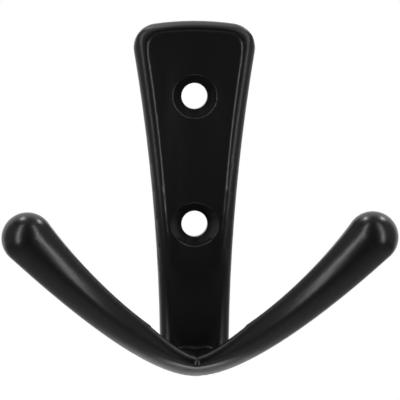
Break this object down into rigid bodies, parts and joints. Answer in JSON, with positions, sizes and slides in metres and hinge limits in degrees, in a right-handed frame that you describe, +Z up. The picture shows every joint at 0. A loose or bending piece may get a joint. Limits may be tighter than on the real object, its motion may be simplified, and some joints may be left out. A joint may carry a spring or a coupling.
{
  "type": "coat hook",
  "caption": "Double coat hook: a flared back plate with a dished face and two countersunk screw holes, and two thick arms in a V with round tips.",
  "frame": {"origin": "on the flat back face, on the symmetry plane, half way between the two screw holes", "axes": "+Y along the normal of the back face, into the wall; +Z up the line of the two screw holes; +X along the longest extent, from arm tip to arm tip, to the right seen from the front"},
  "size_m": [0.0732, 0.0321, 0.0677],
  "materials": {
    "black_metal": "satin"
  },
  "bodies": {
    "root": {"coat_hook": "black_metal"}
  },
  "joints": []
}
